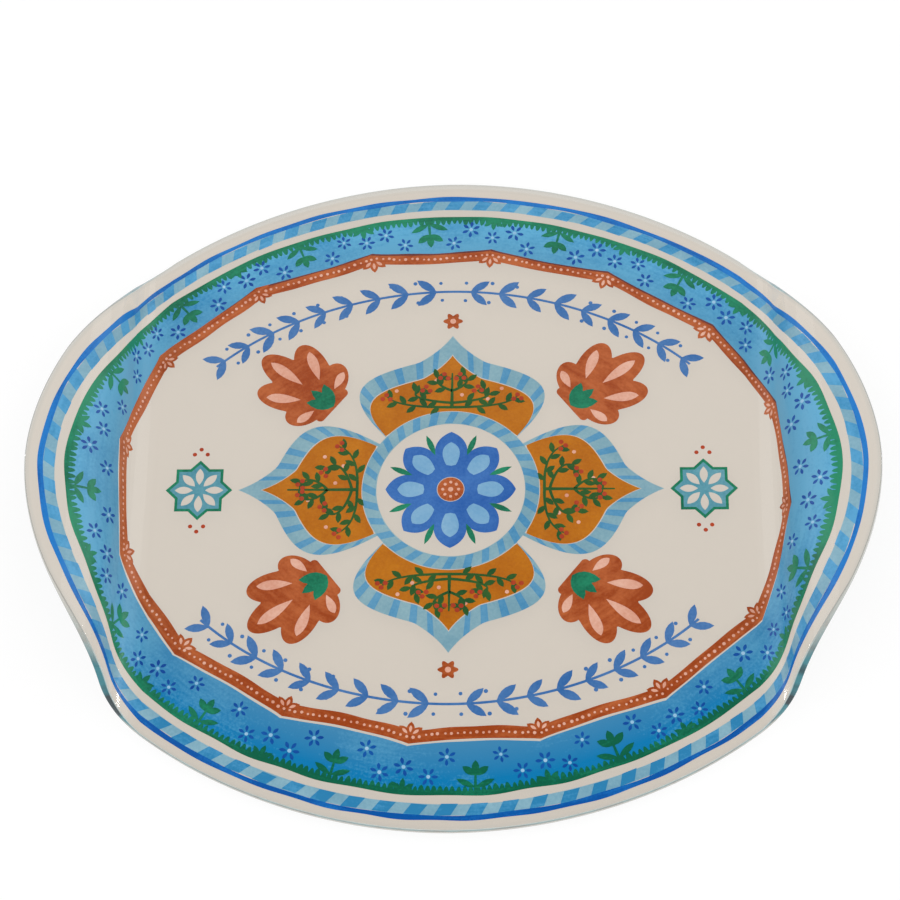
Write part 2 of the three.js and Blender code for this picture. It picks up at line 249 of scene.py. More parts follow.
def bending_tree():
    sizes = ["Side", "Bend line", "Heel radius", "Rise", "Riser", "Shoulder radius", "Lip"]
    given, wires = new_tree("bend_one_end", {**dict.fromkeys(sizes, "Float"), "Ink": "Material"})
    side, bend_line, heel, rise, riser, shoulder, lip, ink_wire = wires
    flat = given.node("ShaderNodeSeparateXYZ", None, {0: given.node("GeometryNodeInputPosition")})
    height = flat.other("Z")
    past = side * flat - bend_line
    turned_up = past.between(0, heel * rise) / heel
    climbed = (past - heel * rise).between(0, riser)
    rest = past - heel * rise - riser
    turned_back = rest.between(0, shoulder * (rise - lip)) / shoulder
    lip_part = (rest - shoulder * (rise - lip)).between(0, 1000)
    slope, steep = turned_up - turned_back, rise - turned_back

    def sine(angle):
        return angle.math("SINE", angle)

    def cosine(angle):
        return angle.math("COSINE", angle)

    along = bend_line + heel * sine(turned_up) + climbed * cosine(rise)
    along = along + shoulder * (sine(rise) - sine(steep)) + lip_part * cosine(lip)
    risen = heel * (1 - cosine(turned_up)) + climbed * sine(rise)
    risen = risen + shoulder * (cosine(steep) - cosine(rise)) + lip_part * sine(lip)
    bent = given.node("ShaderNodeCombineXYZ", None, {
        0: side * (along - height * sine(slope)),
        1: flat.other("Y"),
        2: risen + height * cosine(slope),
    })
    own_end = given.node("FunctionNodeCompare", {"operation": "GREATER_THAN"}, {0: past, 1: 0.0})
    moved_mesh = given.node("GeometryNodeSetPosition", None,
                            {"Geometry": given, "Selection": own_end, "Position": bent})
    return whole_in(given, moved_mesh, ink_wire)


bend_one_end = bending_tree()
print("the bending tree has", len(bend_one_end.nodes), "nodes")

# %% [markdown]
# A tree works on an object through a modifier, whose inputs are set before the object is first
# evaluated. The result is read back as a plain mesh, so nothing live is left on a finished piece.

# %% Run a tree on a mesh
def through_tree(mesh, tree, inputs):
    """The plain mesh that comes out when mesh goes through tree with these inputs."""
    holder = bpy.data.objects.new("holder", mesh)
    bpy.context.scene.collection.objects.link(holder)
    modifier = holder.modifiers.new("tree", "NODES")
    modifier.node_group = tree
    for item in tree.interface.items_tree:
        if item.in_out == "INPUT" and item.name in inputs:
            modifier[item.identifier] = inputs[item.name]
    bpy.context.view_layer.update()
    evaluated = holder.evaluated_get(bpy.context.evaluated_depsgraph_get())
    result = bpy.data.meshes.new_from_object(evaluated)
    bpy.data.objects.remove(holder)
    return result


# %% [markdown]
# The shading is worked out on the flat mesh, where it is exact, and turned with the sheet's slope.
# So the wide flat floor stays a true mirror, and the light runs smoothly round the bends.

# %% Bend a mesh
def slope_at(u):
    """The slope of the sheet at distances u along the blank, in radians."""
    slope = np.zeros(len(u))
    for side, rise in rises.items():
        past = side * u - bend_lines[side]
        heel = np.clip(past / heel_radius, 0, rise)
        turned_back = (past - heel_radius * rise - riser_length) / shoulder_radius
        slope += side * (heel - np.clip(turned_back, 0, rise - lip_angle))
    return slope


def thermoform(mesh, material):
    """Bends both ends of a flat mesh up, and lays it in metres in its place on the table."""
    mesh.shade_smooth()
    mesh.set_sharp_from_angle(angle=math.radians(35))
    places = np.array([vertex.co for vertex in mesh.vertices])
    normals = np.array([corner.vector for corner in mesh.corner_normals])
    corners = np.array([loop.vertex_index for loop in mesh.loops])
    slope = slope_at(places[corners, 0])
    cos, sin = np.cos(slope), np.sin(slope)
    x, z = normals[:, 0].copy(), normals[:, 2].copy()
    normals[:, 0], normals[:, 2] = x * cos - z * sin, x * sin + z * cos
    for side, rise in rises.items():
        mesh = through_tree(mesh, bend_one_end, {
            "Side": float(side), "Bend line": float(bend_lines[side]),
            "Heel radius": float(heel_radius), "Rise": rise, "Riser": riser_length,
            "Shoulder radius": shoulder_radius, "Lip": lip_angle, "Ink": material})
    mesh.attributes.new("blank", "FLOAT_VECTOR", "POINT").data.foreach_set("vector", places.ravel())
    mesh.transform(Matrix.Translation(blank_middle) @ Matrix.Scale(METRES, 4))
    mesh.normals_split_custom_set(normals.tolist())
    return mesh


# %% [markdown]
# ## From a flat drawing to a piece
# A drawing is a list of flat shapes. They are cut along the fold lines, given a thickness as a
# closed film, and bent. The flat place of every point is kept as an attribute, so that a material
# can follow the sheet over the bends. Two faces at exactly one height would throw shadows on each
# other, so shapes of one coat that overlap get heights that differ by a hair's breadth. The whole
# print lies a little nearer than the middle of the blank, as it does in the photograph.

# %% Closed film from a drawing
print_offset = np.array([0, -1.75])


def cut_at_folds(drawing):
    """Splits the faces of a flat mesh wherever they cross a fold line."""
    reach = [vertex.co.x for vertex in drawing.verts]
    for fold in fold_lines():
        if min(reach) < fold < max(reach):
            everything = [*drawing.verts, *drawing.edges, *drawing.faces]
            bmesh.ops.bisect_plane(drawing, geom=everything, dist=1e-4,
                                   plane_co=(fold, 0, 0), plane_no=(1, 0, 0))


def finished(name, mesh, material, nodes):
    """Bends a flat closed mesh and hands it over as a piece that stands for the named nodes."""
    bent = thermoform(mesh, material)
    bent.name = name
    piece = bpy.data.objects.new(name, bent)
    bpy.context.scene.collection.objects.link(piece)
    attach(piece, "root")
    if nodes:
        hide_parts(*nodes)
    print(name, "has", len(bent.polygons), "faces")
    return piece


first_coat = sheet_thickness + 0.05
coat_step = 0.02
coat_thickness = 0.04
shape_step, shape_steps = 0.002, 8


def film(name, shapes, level, material, nodes=()):
    """A printed coat: flat polygons or strips of them become a closed film just above the sheet."""
    drawing = bmesh.new()
    for number, shape in enumerate(shapes):
        height = number % shape_steps * shape_step
        for polygon in shape if np.ndim(shape) == 3 else [shape]:
            corners = [drawing.verts.new((u, v, height)) for u, v in np.asarray(polygon) + print_offset]
            drawing.faces.new(corners)
    bmesh.ops.remove_doubles(drawing, verts=drawing.verts[:], dist=1e-4)
    cut_at_folds(drawing)
    drawing.normal_update()
    for face in drawing.faces:
        if face.normal.z < 0:
            face.normal_flip()
    drawing.verts.index_update()
    count = len(drawing.verts)
    tops = [[vertex.index + count for vertex in face.verts] for face in drawing.faces]
    bottoms = [[vertex.index for vertex in reversed(face.verts)] for face in drawing.faces]
    walls = []
    for face in drawing.faces:
        for loop in face.loops:
            if loop.edge.is_boundary:
                a, b = loop.vert.index, loop.link_loop_next.vert.index
                walls.append([a, b, b + count, a + count])
    low = first_coat + level * coat_step
    places = [(*v.co.xy, v.co.z + low) for v in drawing.verts]
    places += [(*v.co.xy, v.co.z + low + coat_thickness) for v in drawing.verts]
    drawing.free()
    mesh = bpy.data.meshes.new(name)
    mesh.from_pydata(places, [], tops + bottoms + walls)
    return finished(name, mesh, material, nodes)


# %% [markdown]
# ## The clear sheet
# The sheet is the blank's oval with an edge that was smoothed and polished. Rings of points round
# that edge give it its soft corners, and two large faces close it above and below. Cut and bent like
# everything else, it needs no more than that.

# %% Sheet
def sheet_mesh():
    edge_radius, edge_steps, flat_rim = 0.8, 4, 0.4
    quarter = [math.pi / 2 * i / edge_steps for i in range(edge_steps + 1)]
    lower = [(edge_radius * (1 - math.sin(a)), edge_radius * (1 - math.cos(a))) for a in quarter]
    lower.insert(0, (edge_radius + flat_rim, 0))
    upper = [(depth, sheet_thickness - height) for depth, height in reversed(lower)]
    blank = bmesh.new()
    loops = [[blank.verts.new((u, v, height)) for u, v in oval(depth, 720)]
             for depth, height in lower + upper]
    for below, above in zip(loops, loops[1:]):
        for i in range(len(below)):
            blank.faces.new((below[i - 1], below[i], above[i], above[i - 1]))
    blank.faces.new(reversed(loops[0]))
    blank.faces.new(loops[-1])
    cut_at_folds(blank)
    mesh = bpy.data.meshes.new("clear_sheet")
    blank.to_mesh(mesh)
    blank.free()
    return mesh


# %% [markdown]
# Materials need to know where on the blank they are. The attribute from the bending gives the flat
# place, and the oval's own formula tells how far out a point lies: below 1 inside, above 1 outside.

# %% Where on the blank a material is
def new_material(name):
    material = bpy.data.materials.new(name)
    material.use_nodes = True
    material.node_tree.nodes.clear()
    return material, Wire(material.node_tree)


def colour(red, green, blue):
    """The scene's own value of a colour that is read off as 0 to 255."""
    levels = [level / 255 for level in (red, green, blue)]
    return (*[((x + 0.055) / 1.055) ** 2.4 if x > 0.04 else x / 12.92 for x in levels], 1)


def flat_place(start):
    blank = start.node("ShaderNodeAttribute", {"attribute_name": "blank"}, out="Vector")
    return start.node("ShaderNodeSeparateXYZ", None, {0: blank})


def reach_of(flat, depth, offset=(0, 0)):
    """How far out a place lies, as a share of the oval that runs at that depth inside the edge."""
    along = abs(flat - offset[0]) / (half_length - depth)
    across = abs(flat.other("Y") - offset[1]) / (half_width - depth)
    return along ** length_power + across ** width_power


def ring_place(start):
    """A place for noise that is drawn out along the border's bands, as brush marks are."""
    flat = flat_place(start)
    distance = (flat * flat + flat.other("Y") * flat.other("Y")) ** 0.5
    return start.node("ShaderNodeCombineXYZ", None, {
        0: flat / distance * 9, 1: flat.other("Y") / distance * 9, 2: reach_of(flat, 0) * 70})


# %% [markdown]
# Clear acrylic lets light through, takes a little out of it and mirrors the room faintly. That is a
# transparent shader mixed with a glossy one by Fresnel, on the side where light comes in. Where the
# sheet was cut, light from inside comes out, and that is painted on the edge as colour: deep teal
# streaks beside the steep risers, a painted reflection of the inks with painted shade in their
# darkest parts, and pale grey elsewhere. Along the upper corner runs a painted highlight on the
# risers and a darker painted line elsewhere. The rim next to it is tinted a little darker, as
# painted shade. Fine scratches from use make the gloss uneven.

# %% Material of the clear sheet
def clear_acrylic():
    edge_depth, rim_depth = 0.5, 2.6
    riser_foot, riser_fade = 1.5 * METRES, 20 * METRES
    sheet_tint, rim_shade_tint = (0.835, 0.799, 0.752, 1), (0.8, 0.777, 0.737, 1)
    material, start = new_material("clear_acrylic")
    place = start.node("ShaderNodeTexCoord", out="Object")
    scratches = place.noise(900, 4, 0.7)
    haze = place.noise(12)
    bump = start.node("ShaderNodeBump", None, {
        "Height": scratches, "Strength": 0.003, "Distance": 0.0001})
    flat = flat_place(start)
    cut_edge = ((reach_of(flat, edge_depth) - 1) * 500 + 0.5).between(0, 1)
    height = start.node("ShaderNodeSeparateXYZ", None, {0: place}).other("Z")
    above_floor = ((height - riser_foot) * 400).between(0, 1)
    riser = above_floor * (1 - ((height - riser_fade) * 60).between(0, 1))
    # Painted light on the cut edge: teal streaks as a painted reflection of the inks, their darkest
    # parts painted shade.
    streaks = ((ring_place(start).noise(2.0, 2) - 0.45) * 7).between(0, 1)
    teal_reflection = streaks.blend(colour(44, 130, 142), colour(0, 44, 54))
    flank = riser.blend(colour(184, 182, 172), teal_reflection)
    # Along the upper corner: a painted highlight on the risers and a painted darker line elsewhere.
    corner_highlight_and_shade = riser.blend(colour(106, 108, 104), colour(214, 222, 218))
    upper_corner = ((flat.other("Z") - 3.3) * 2).between(0, 1)
    flank = (upper_corner * 0.8).blend(flank, corner_highlight_and_shade)
    # A darker tint along the rim is painted shade.
    rim_shade = ((reach_of(flat, rim_depth) - 1) * 80).between(0, 1)
    tint = cut_edge.blend(rim_shade.blend(sheet_tint, rim_shade_tint), (0.84, 0.84, 0.82, 1))
    through = start.node("ShaderNodeBsdfTransparent", None, {"Color": tint})
    gloss = start.node("ShaderNodeBsdfGlossy", None, {"Roughness": 0.03 + haze * 0.04, "Normal": bump})
    painted_edge_light = start.node("ShaderNodeBsdfPrincipled", None, {
        "Base Color": flank, "Roughness": 0.2, "Normal": bump})
    leaving = start.node("ShaderNodeNewGeometry", out="Backfacing")
    fresnel = start.node("ShaderNodeFresnel", None, {"IOR": 1.49, "Normal": bump}) * (1 - leaving)
    clear = start.node("ShaderNodeMixShader", None, {0: fresnel, 1: through, 2: gloss})
    glow = (0.3 + riser * 0.65 + upper_corner * 0.3).between(0, 1)
    glow_share = cut_edge * glow * (1 - leaving * 0.8)
    shown = start.node("ShaderNodeMixShader", None, {0: glow_share, 1: clear, 2: painted_edge_light})
    start.node("ShaderNodeOutputMaterial", None, {"Surface": shown})
    return material


sheet = finished("clear_sheet", sheet_mesh(), clear_acrylic(), ["acrylic_sheet"])

# %% [markdown]
# ## Inks
# Every ink is a coat whose depth varies: thin places are paler, thick ones deeper. The screen leaves
# a fine grain, and bands that were brushed on show marks along their length. Some inks are also
# darker towards the near side and paler over the raised ends, which is painted light. One function
# makes them all from two colours.

# %% Ink materials
near_from, near_full = 30, 140
heel_from, heel_full = 135, 160


def near_side(start):
    """0 in the middle and on the far side, rising to 1 along the near side."""
    nearness = flat_place(start).other("Y") * -1 - near_from
    return (nearness / (near_full - near_from)).between(0, 1)


def raised_end(start):
    """0 on the flat floor, and 1 from the middle of the heels outwards."""
    return ((abs(flat_place(start)) - heel_from) / (heel_full - heel_from)).between(0, 1)


def ink(name, thin, thick, cloud=25.0, brushed=0.0, nearer=0.0, inner=None):
    """An ink between a thin and a thick coat's colour. With nearer, the coat is darker towards the near
    side, and paler over the raised ends as painted light where they rise. With inner, it takes
    another colour from one depth inside the blank's edge to a second one."""
    material, start = new_material(name)
    place = start.node("ShaderNodeTexCoord", out="Object")
    fine = place.noise(700, 3, 0.6)
    depth = 0.5 - nearer / 2 + (place.noise(cloud, 5, 0.6) - 0.5) * 2.4 + (fine - 0.5) * 1.1
    # Darker towards the near side, and paler over the raised ends as painted light.
    if nearer:
        depth = depth + near_side(start) * nearer + 0.2 - raised_end(start) * 0.3
    if brushed:
        depth = depth + (ring_place(start).noise(1.0, 3) - 0.5) * brushed
    shade = depth.blend(thin, thick)
    if inner:
        outer_depth, inner_depth, inner_colour = inner
        past_inner = reach_of(flat_place(start), inner_depth) - 1
        full_width = ((half_width - outer_depth) / (half_width - inner_depth)) ** 2 - 1
        whole = (1 - past_inner / full_width).between(0, 1)
        shade = (whole * 0.5).blend(shade, inner_colour)
    bump = start.node("ShaderNodeBump", None, {"Height": fine, "Strength": 0.3, "Distance": 0.0001})
    body = start.node("ShaderNodeBsdfPrincipled", None,
                      {"Base Color": shade, "Roughness": 0.1 + fine * 0.15,
                       "Specular IOR Level": 0.3, "Normal": bump})
    start.node("ShaderNodeOutputMaterial", None, {"Surface": body})
    return material


# %% [markdown]
# ## Lines and shapes to draw with
# A few small helpers draw everything: a curve through its control points, a strip between two lines,
# a shape and its mirror image, and a turn. Hand work is never quite even, so lines wander by a few
# tenths of a millimetre, always in the same way because the dice start from a fixed number.

# %% Drawing helpers
dice = np.random.default_rng(18)


def curve(*points, steps=12):
    """Points of the Bezier curve with these control points."""
    share = np.linspace(0, 1, steps + 1)[:, None]
    line = [np.array(point, float) + 0 * share for point in points]
    while len(line) > 1:
        line = [a + (b - a) * share for a, b in zip(line, line[1:])]
    return line[0]


def even(line, count, closed=False):
    """The same line divided evenly: into count points if it is closed, or else into count steps."""
    line = np.vstack([line, line[:1]]) if closed else line
    walk = walked(line)
    stops = np.arange(count) / count if closed else np.linspace(0, 1, count + 1)
    return np.stack([np.interp(stops * walk[-1], walk, line[:, axis]) for axis in (0, 1)], 1)


def strip(first, second, closed=True):
    """The quads between two lines of the same number of points."""
    quads = np.stack([first, np.roll(first, -1, 0), np.roll(second, -1, 0), second], 1)
    return quads if closed else quads[:-1]


def moved(shape, place=(0, 0), turn=0.0, size=1.0):
    """A shape made larger, turned about its own origin and put at a place."""
    cos, sin = math.cos(turn), math.sin(turn)
    return np.asarray(shape) * size @ np.array([[cos, sin], [-sin, cos]]) + place


def two_sided(half):
    """A closed shape from one side of it, which starts and ends on its axis."""
    return np.vstack([half, (half * [1, -1])[-2:0:-1]])


def wander(count, amount, waves=(3, 40)):
    """A smooth closed wave of that many values, from a handful of sines with random starts."""
    turns = np.linspace(0, 2 * math.pi, count, endpoint=False)
    pace = dice.integers(*waves, 9)
    lead = dice.uniform(0, 2 * math.pi, 9)
    return amount * sum(np.sin(p * turns + a) for p, a in zip(pace, lead)) / 3


def inwards(line, distance):
    """A closed counter-clockwise line, moved inwards by a distance at each of its points."""
    ahead = np.roll(line, -1, 0) - np.roll(line, 1, 0)
    ahead /= np.hypot(*ahead.T)[:, None]
    return line + np.stack([-ahead[:, 1], ahead[:, 0]], 1) * np.reshape(distance, (-1, 1))


def disc(radius, place=(0, 0), count=24):
    angles = np.arange(count) / count * 2 * math.pi
    return radius * np.stack([np.cos(angles), np.sin(angles)], 1) + place


def leaf(length, width, belly=0.55, steps=5):
    return two_sided(curve((0, 0), (length * belly, width), (length, 0), steps=steps))


# %% [markdown]
# ## Stamps in a row
# Stripes, teeth, dots, leaves and blossoms all repeat along a line. One node tree sets a small
# drawing at every point of any line, turns each to the line's direction, and lets place, turn and
# size vary a little, as a hand does.

# %% The stamping tree
def stamping_tree():
    given, wires = new_tree("stamp_along_line", {
        "Stamp": "Object", "Turn": "Float", "Turn spread": "Float", "Size spread": "Float",
        "Place spread": "Float", "Seed": "Int", "Ink": "Material"})
    stamp, turn, turn_spread, size_spread, place_spread, seed, ink_wire = wires
    line = given.node("GeometryNodeMeshToCurve", None, {"Mesh": given})
    heading = given.node("ShaderNodeSeparateXYZ", None, {0: given.node("GeometryNodeInputTangent")})

    def spread(amount, draw):
        return given.node("FunctionNodeRandomValue", {"data_type": "FLOAT"},
                          {2: amount * -1.0, 3: amount, 8: seed + draw}, out=1)

    nudge = given.node("ShaderNodeCombineXYZ", None, {
        0: spread(place_spread, 1), 1: spread(place_spread, 2)})
    angle = given.math("ARCTAN2", heading.other("Y"), heading) + turn + spread(turn_spread, 3)
    motif = given.node("GeometryNodeObjectInfo", None, {"Object": stamp}, out="Geometry")
    stamped = given.node("GeometryNodeInstanceOnPoints", None, {
        "Points": line, "Instance": motif,
        "Rotation": given.node("ShaderNodeCombineXYZ", None, {2: angle}),
        "Scale": spread(size_spread, 4) + 1.0})
    nudged = given.node("GeometryNodeTranslateInstances", None, {
        "Instances": stamped, "Translation": nudge, "Local Space": False})
    return whole_in(given, nudged, ink_wire)


stamp_along_line = stamping_tree()
print("the stamping tree has", len(stamp_along_line.nodes), "nodes")


def flat_mesh(name, polygons):
    mesh = bpy.data.meshes.new(name)
    places = [(*point, 0) for polygon in polygons for point in polygon]
    firsts = np.cumsum([0] + [len(polygon) for polygon in polygons])
    mesh.from_pydata(places, [], [range(a, b) for a, b in zip(firsts, firsts[1:])])
    return mesh


def row(line, polygons, spread=(0.0, 0.0, 0.0), turn=0.0, closed=True, seed=1):
    """The polygons stamped at each point of a line. spread is that of turn, size and place."""
    edges = [(i, (i + 1) % len(line)) for i in range(len(line) if closed else len(line) - 1)]
    guide = bpy.data.meshes.new("guide")
    guide.from_pydata([(u, v, 0) for u, v in line], edges, [])
    stamp = bpy.data.objects.new("stamp", flat_mesh("stamp", polygons))
    bpy.context.scene.collection.objects.link(stamp)
    mesh = through_tree(guide, stamp_along_line, {
        "Stamp": stamp, "Turn": turn, "Turn spread": spread[0],
        "Size spread": spread[1], "Place spread": spread[2], "Seed": seed})
    bpy.data.objects.remove(stamp)
    places = np.array([vertex.co[:2] for vertex in mesh.vertices])
    return [places[list(face.vertices)] for face in mesh.polygons]


# %% [markdown]
# ## The cobalt line and the rope
# The outermost line was painted in one stroke, so its width swells and shrinks. Inside it runs a
# band like a twisted rope: a pale blue ground with slanted patches of a stronger blue.

# %% Cobalt line and rope
rim_line = (6.5, 9.0)
rope = (9.0, 14.5)


def band(start, end, unsteady=0.15, count=900):
    return strip(inwards(oval(start, count), wander(count, unsteady)),
                 inwards(oval(end, count), wander(count, unsteady)))


cobalt = ink("cobalt_ink", colour(28, 124, 204), colour(0, 86, 168), 30, brushed=1.6, nearer=0.6)
film("cobalt_rim", [band(*rim_line, 0.3)], 2, cobalt, ["cobalt_rim_line"])

pale_rope = ink("pale_rope_ink", colour(146, 188, 204), colour(116, 164, 186), 40)
film("rope_ground", [band(*rope)], 0, pale_rope, ["twist_band"])

rope_middle = (rope[0] + rope[1]) / 2
rope_half = (rope[1] - rope[0]) / 2
patch_half, patch_slant, rope_turns = 3.7, 1.7, 80
patch = np.vstack([
    curve((patch_half - patch_slant, -rope_half), (patch_half + patch_slant, rope_half), steps=3),
    curve((patch_slant - patch_half, rope_half), (-patch_half - patch_slant, -rope_half), steps=3)])
rope_blue = ink("rope_blue_ink", colour(90, 168, 214), colour(44, 132, 182), 40,
                brushed=1.0, nearer=0.4)
patches = row(oval(rope_middle, rope_turns), [patch], (0.04, 0.06, 0.25))
film("rope_patches", patches, 1, rope_blue)

# %% [markdown]
# ## The blue field and its green edging
# The field is the widest band. Its inner edge hangs in shallow swags from points near the rope, as
# cloth hangs from nails. The print of the field's inside isn't quite in the middle of the blank.
# The green line along its outer edge carries a row of small rounded teeth, like grass.

# %% Blue field and green edging
bays = 16
green_line = (18.6, 20.9)
field_start = 20.2
swag_middle, swag_sag, swag_half = 45.9, 3.6, 3.1
end_inset, corner_lift, corner_skew = 2.6, 1.4, 1.2
inside_drift = np.array([0, 1.9])
first_nail = 0.7

shares = np.arange(1440) / 1440
hung = 1 - np.abs(np.sin(math.pi * (bays * shares - first_nail))) ** 0.8
swag = swag_middle - swag_sag * hung + wander(len(shares), 0.15)
swag = swag + end_inset * np.cos(2 * math.pi * shares) ** 2
swag = swag + corner_lift * np.cos(8 * math.pi * shares) + corner_skew * np.sin(4 * math.pi * shares)

field_ink = ink("field_blue_ink", colour(96, 176, 216), colour(0, 124, 182), 16,
                brushed=0.8, nearer=0.9, inner=(26, 44, colour(92, 150, 182)))
field_edge = ring(shares, swag - swag_half - 0.2) + inside_drift
field_outside = ring(shares, field_start)
film("field_coat", [strip(field_outside, field_edge)], 0, field_ink, ["blue_field"])

tooth = np.vstack([curve((-1.4, -1.0), (-1.2, 2.2), (0, 2.7), steps=3),
                   curve((0, 2.7), (1.2, 2.2), (1.4, -1.0), steps=3)[1:]])
teeth_count = 380
teeth = row(oval(green_line[1], teeth_count), [tooth], (0.12, 0.18, 0.2))
green = ink("green_ink", colour(30, 140, 102), colour(0, 98, 70), 30, brushed=1.2, nearer=0.5)
film("green_edging", [band(*green_line, 0.3)], 4, green, ["green_edging"])
film("green_teeth", teeth, 1, green)

# %% [markdown]
# A leafy stalk stands in the middle of every bay, with a fan of leaves on its top and two long ones
# at its foot. A low tuft grows opposite every point. Small blossoms of six petals fill the blue
# between them.

# %% Plants and blossoms of the field
up = math.pi / 2
stalk = np.array([(-0.8, -1.2), (0.8, -1.2), (0.5, 9), (-0.5, 9)])
stalk_leaves = [moved(leaf(7.6, 3.6), (0, 7.8), up + turn) for turn in (-0.95, 0, 0.95)]
stalk_leaves += [moved(leaf(10, 3.0), (0, 1.6), up + turn) for turn in (-1.12, 1.12)]
tuft = [moved(leaf(6.8, 2.6), (0, -1.0), up + turn) for turn in (-0.85, 0, 0.85)]
plant_spread = (0.08, 0.08, 0.3)
bay_middles = oval(green_line[1], bays, (first_nail + 0.5) / bays)
plants = row(bay_middles, [stalk, *stalk_leaves], plant_spread, seed=2)
plants += row(oval(green_line[1], bays, first_nail / bays), tuft, plant_spread, seed=3)
film("field_plants", plants, 5, green)

petal = moved(leaf(3.3, 1.6, 0.6, 4), (1.2, 0))
blossom = [moved(petal, turn=math.radians(60 * i)) for i in range(6)]
blossom_places = np.array([(0.0, 0.55), (0.17, 0.33), (0.3, 0.7), (0.7, 0.71), (0.83, 0.34)])
stops = (np.arange(bays)[:, None] + first_nail + blossom_places[:, 0]).ravel() / bays
nearest = np.round(stops * len(shares)).astype(int) % len(shares)
inward = np.tile(blossom_places[:, 1], bays)[:, None]
spots = field_outside[nearest] * (1 - inward) + field_edge[nearest] * inward
spot_spread = (0.3, 0.1, 0.5)
blossoms = row(spots, blossom, spot_spread, seed=4)
petal_ink = ink("petal_blue_ink", colour(14, 90, 172), colour(0, 66, 150), 60)
film("field_blossoms", blossoms, 2, petal_ink)
hearts = row(spots, [disc(0.9, count=8)], spot_spread, seed=4)
heart_ink = ink("pale_blue_ink", colour(168, 206, 232), colour(130, 184, 222), 60)
film("field_hearts", hearts, 3, heart_ink)

# %% [markdown]
# ## The terracotta swag
# The band inside the field hangs as its edge does. It was printed a little off its place, so a
# sliver of clear sheet shows beside it on the near side, and on the far side it lies over the blue
# and turns dark. Pale dots run along its middle, and a bud opens inwards at every point.

# %% Terracotta swag with dots and buds
slip = np.array([0.7, 1.0])
swag_line = ring(shares, swag) + inside_drift + slip
terracotta = ink("terracotta_ink", colour(190, 100, 52), colour(158, 66, 18), 60,
                 brushed=2.0, nearer=0.4)
swag_halves = swag_half - 0.35 * np.cos(2 * math.pi * shares)
swag_edges = [inwards(swag_line, side * swag_halves + wander(len(shares), 0.2)) for side in (-1, 1)]
film("terracotta_swag", [strip(*swag_edges)], 2, terracotta, ["terracotta_band"])
over_blue = ((swag_edges[0] - field_edge) * field_edge).sum(1) > 0
overprint_ink = ink("overprint_ink", colour(122, 62, 52), colour(92, 44, 44), 60)
overlap = strip(field_edge, swag_edges[0])[over_blue]
film("swag_overprint", [overlap], 3, overprint_ink)

bud_turns = (-0.85, 0, 0.85)
bud = [moved(leaf(7.4, 3.9), (0, 0.6), up + turn) for turn in bud_turns]
bud_core = [moved(leaf(3.6, 1.5, 0.6), (1.7 * -math.sin(turn), 0.8 + 1.7 * math.cos(turn)), up + turn)
            for turn in bud_turns]
bud_stops = swag_line[round(first_nail * len(shares) / bays):: len(shares) // bays]
bud_spread = (0.05, 0.1, 0.1)
film("swag_buds", row(bud_stops, bud, bud_spread, seed=6), 4, terracotta)
pink = ink("pink_ink", colour(236, 186, 164), colour(216, 148, 122), 60)
dots = row(even(swag_line, bays * 20, closed=True), [disc(0.7, count=8)], (0.0, 0.25, 0.4), seed=7)
dots += row(bud_stops, bud_core, bud_spread, seed=6)
film("swag_dots", dots, 5, pink)

# %% [markdown]
# ## The medallion
# The middle of the tray holds a round medallion with four pointed lobes. Each lobe is an ochre panel
# in a sky blue frame, and the frame is striped like the rope.

# %% Medallion sizes
roundel_radius, roundel_ring = 43.55, 7.0
frame_width, frame_tip = 6.5, 11.0
side_reach, side_spread = 93.6, 36.59
crown_reach, crown_spread = 76.41, 49.67
lobes = {
    "right": (side_reach, side_spread, 0), "upper": (crown_reach, crown_spread, math.pi / 2),
    "left": (side_reach, side_spread, math.pi), "lower": (crown_reach, crown_spread, -math.pi / 2)}


def lobe_side(reach, spread, leave):
    """One side of a lobe, from where it leaves the circle of that radius to its tip."""
    belly, flank, shoulder, neck = [
        (along * reach, across * spread)
        for along, across in ((0.6, 1.15), (0.7, 0.95), (0.82, 0.3), (0.9, 0.1))]
    line = np.vstack([curve((0, 0), belly, flank, shoulder, steps=160),
                      curve(shoulder, neck, (reach, 0), steps=60)[1:]])
    return even(line[np.hypot(*line.T) >= leave], 40)


print("the medallion is", round(2 * (side_reach + frame_tip)), "mm long")

# %% [markdown]
# A frame lies between two outlines of its lobe, a smaller and a larger one. Its stripes join places
# on the two that are a step apart, so they slant, and each starts a little early or late.

# %% Medallion frame with its stripes
stripe_count, first_stripe, stripe_pitch = 7, 30, 48
stripe_length, stripe_skew = 24, 16
sky = ink("sky_ink", colour(146, 182, 192), colour(116, 160, 178), 40)
frame_blue = ink("frame_blue_ink", colour(104, 162, 196), colour(70, 140, 184), 40)
frames, stripes = [], []
for reach, spread, turn in lobes.values():
    outer = lobe_side(reach + frame_tip, spread + frame_width, roundel_radius - 1)
    inner = lobe_side(reach, spread, roundel_radius - 1)
    for side in (1, -1):
        lines = [moved(line * [1, side], turn=turn) for line in (outer, inner)]
        frames.append(strip(*lines, closed=False))
        frame_edges = [even(line, 401) for line in lines]
        for number in range(stripe_count):
            start = first_stripe + stripe_pitch * number + dice.integers(-3, 4)
            outer_part, inner_part = [edge[start + shift:start + shift + stripe_length:6]
                                      for edge, shift in zip(frame_edges, (stripe_skew, 0))]
            stripes.append(np.vstack([outer_part, inner_part[::-1]]))
film("lobe_frames", frames, 0, sky, ["medallion_frame"])
roundel = strip(disc(roundel_radius, count=120), disc(roundel_radius - roundel_ring, count=120))
film("roundel_ring", [roundel], 3, sky)

